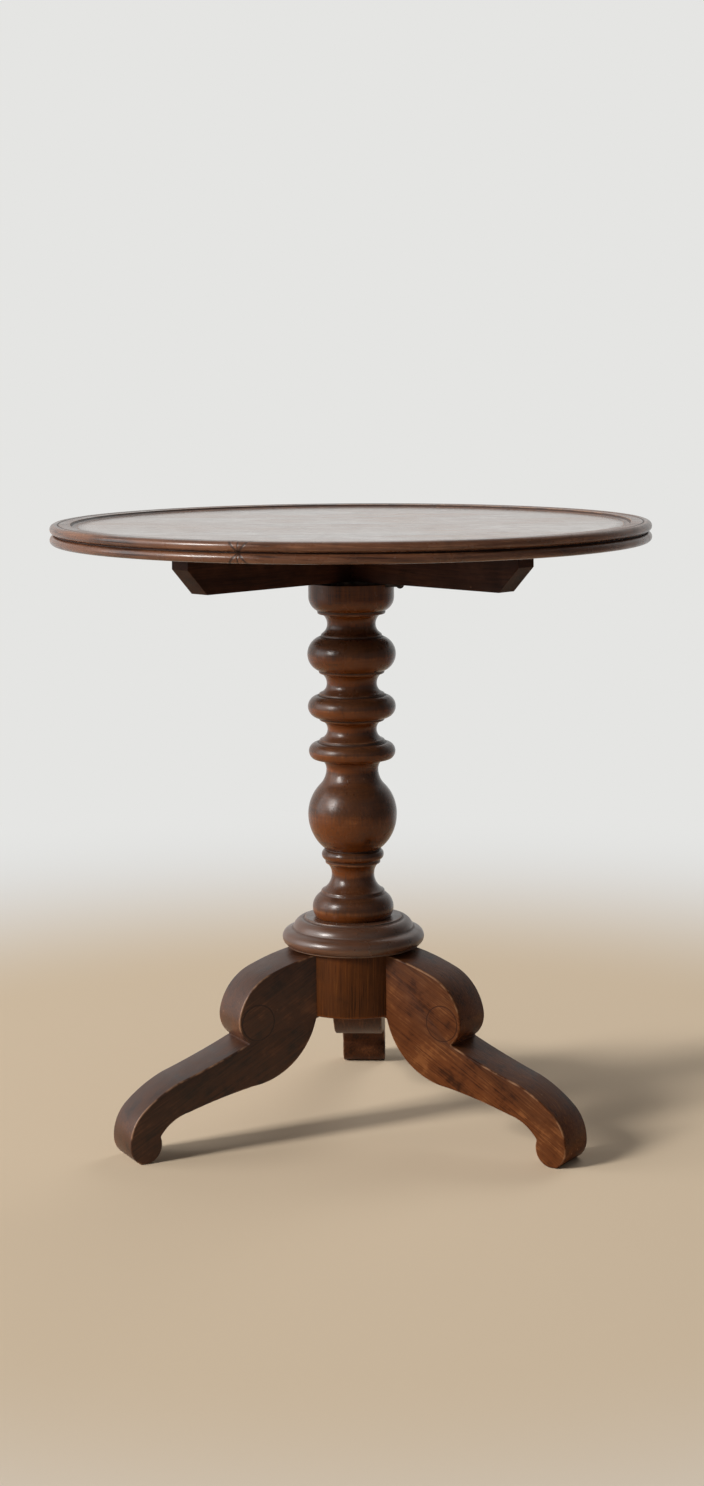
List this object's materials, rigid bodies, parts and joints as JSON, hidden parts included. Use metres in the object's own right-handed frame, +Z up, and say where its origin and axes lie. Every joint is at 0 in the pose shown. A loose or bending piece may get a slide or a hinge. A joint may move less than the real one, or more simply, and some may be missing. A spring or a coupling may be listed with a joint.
{
  "type": "tilt-top gueridon table",
  "caption": "Round moulded-rim wooden table top on crossed bearers, hinged to a turned column with scrolled tripod legs; the top tips up to stand upright.",
  "frame": {"origin": "on the floor under the column's axis", "axes": "+Z up, +Y along the rear leg, +X to the right when the rear leg is away; the hinge pin is on the +X side"},
  "size_m": [0.725, 0.725, 0.73],
  "materials": {
    "top_wood": "old dark polish, satin, long straight grain",
    "rim_wood": "old dark polish, half gloss",
    "base_wood": "old dark polish, half gloss, worn paler on edges",
    "bearer_wood": "dull dark stain",
    "iron": "dark, oiled, a little worn",
    "brass": "aged, dull"
  },
  "bodies": {
    "pedestal": {"column": "base_wood", "base_disc": "base_wood", "hub": "base_wood", "leg_rear": "base_wood", "leg_left": "base_wood", "leg_right": "base_wood", "head_leaf": "iron", "head_leaf_screws": "brass", "hinge_pin": "iron", "keeper": "iron", "keeper_screws": "brass"},
    "top": {"top_board_1": "top_wood", "top_board_2": "top_wood", "top_board_3": "top_wood", "top_board_4": "top_wood", "rim_segment_1": "rim_wood", "rim_segment_2": "rim_wood", "rim_segment_3": "rim_wood", "rim_segment_4": "rim_wood", "bearer_under": "bearer_wood", "bearer_over": "bearer_wood", "bearer_screws": "brass", "top_leaf": "iron", "top_leaf_screws": "brass", "bolt_plate": "iron", "bolt_plate_screws": "brass"},
    "bolt": {"bolt_rod": "brass", "bolt_knob": "brass"}
  },
  "joints": [
    {"name": "top_tilt", "type": "hinge", "parent": "pedestal", "child": "top", "pos_m": [0.06, 0, 0.655], "axis": [0, 1, 0], "range_deg": [0, 90]},
    {"name": "bolt_slide", "type": "slide", "parent": "top", "child": "bolt", "axis": [1, 0, 0], "range_m": [0, 0.014]}
  ]
}
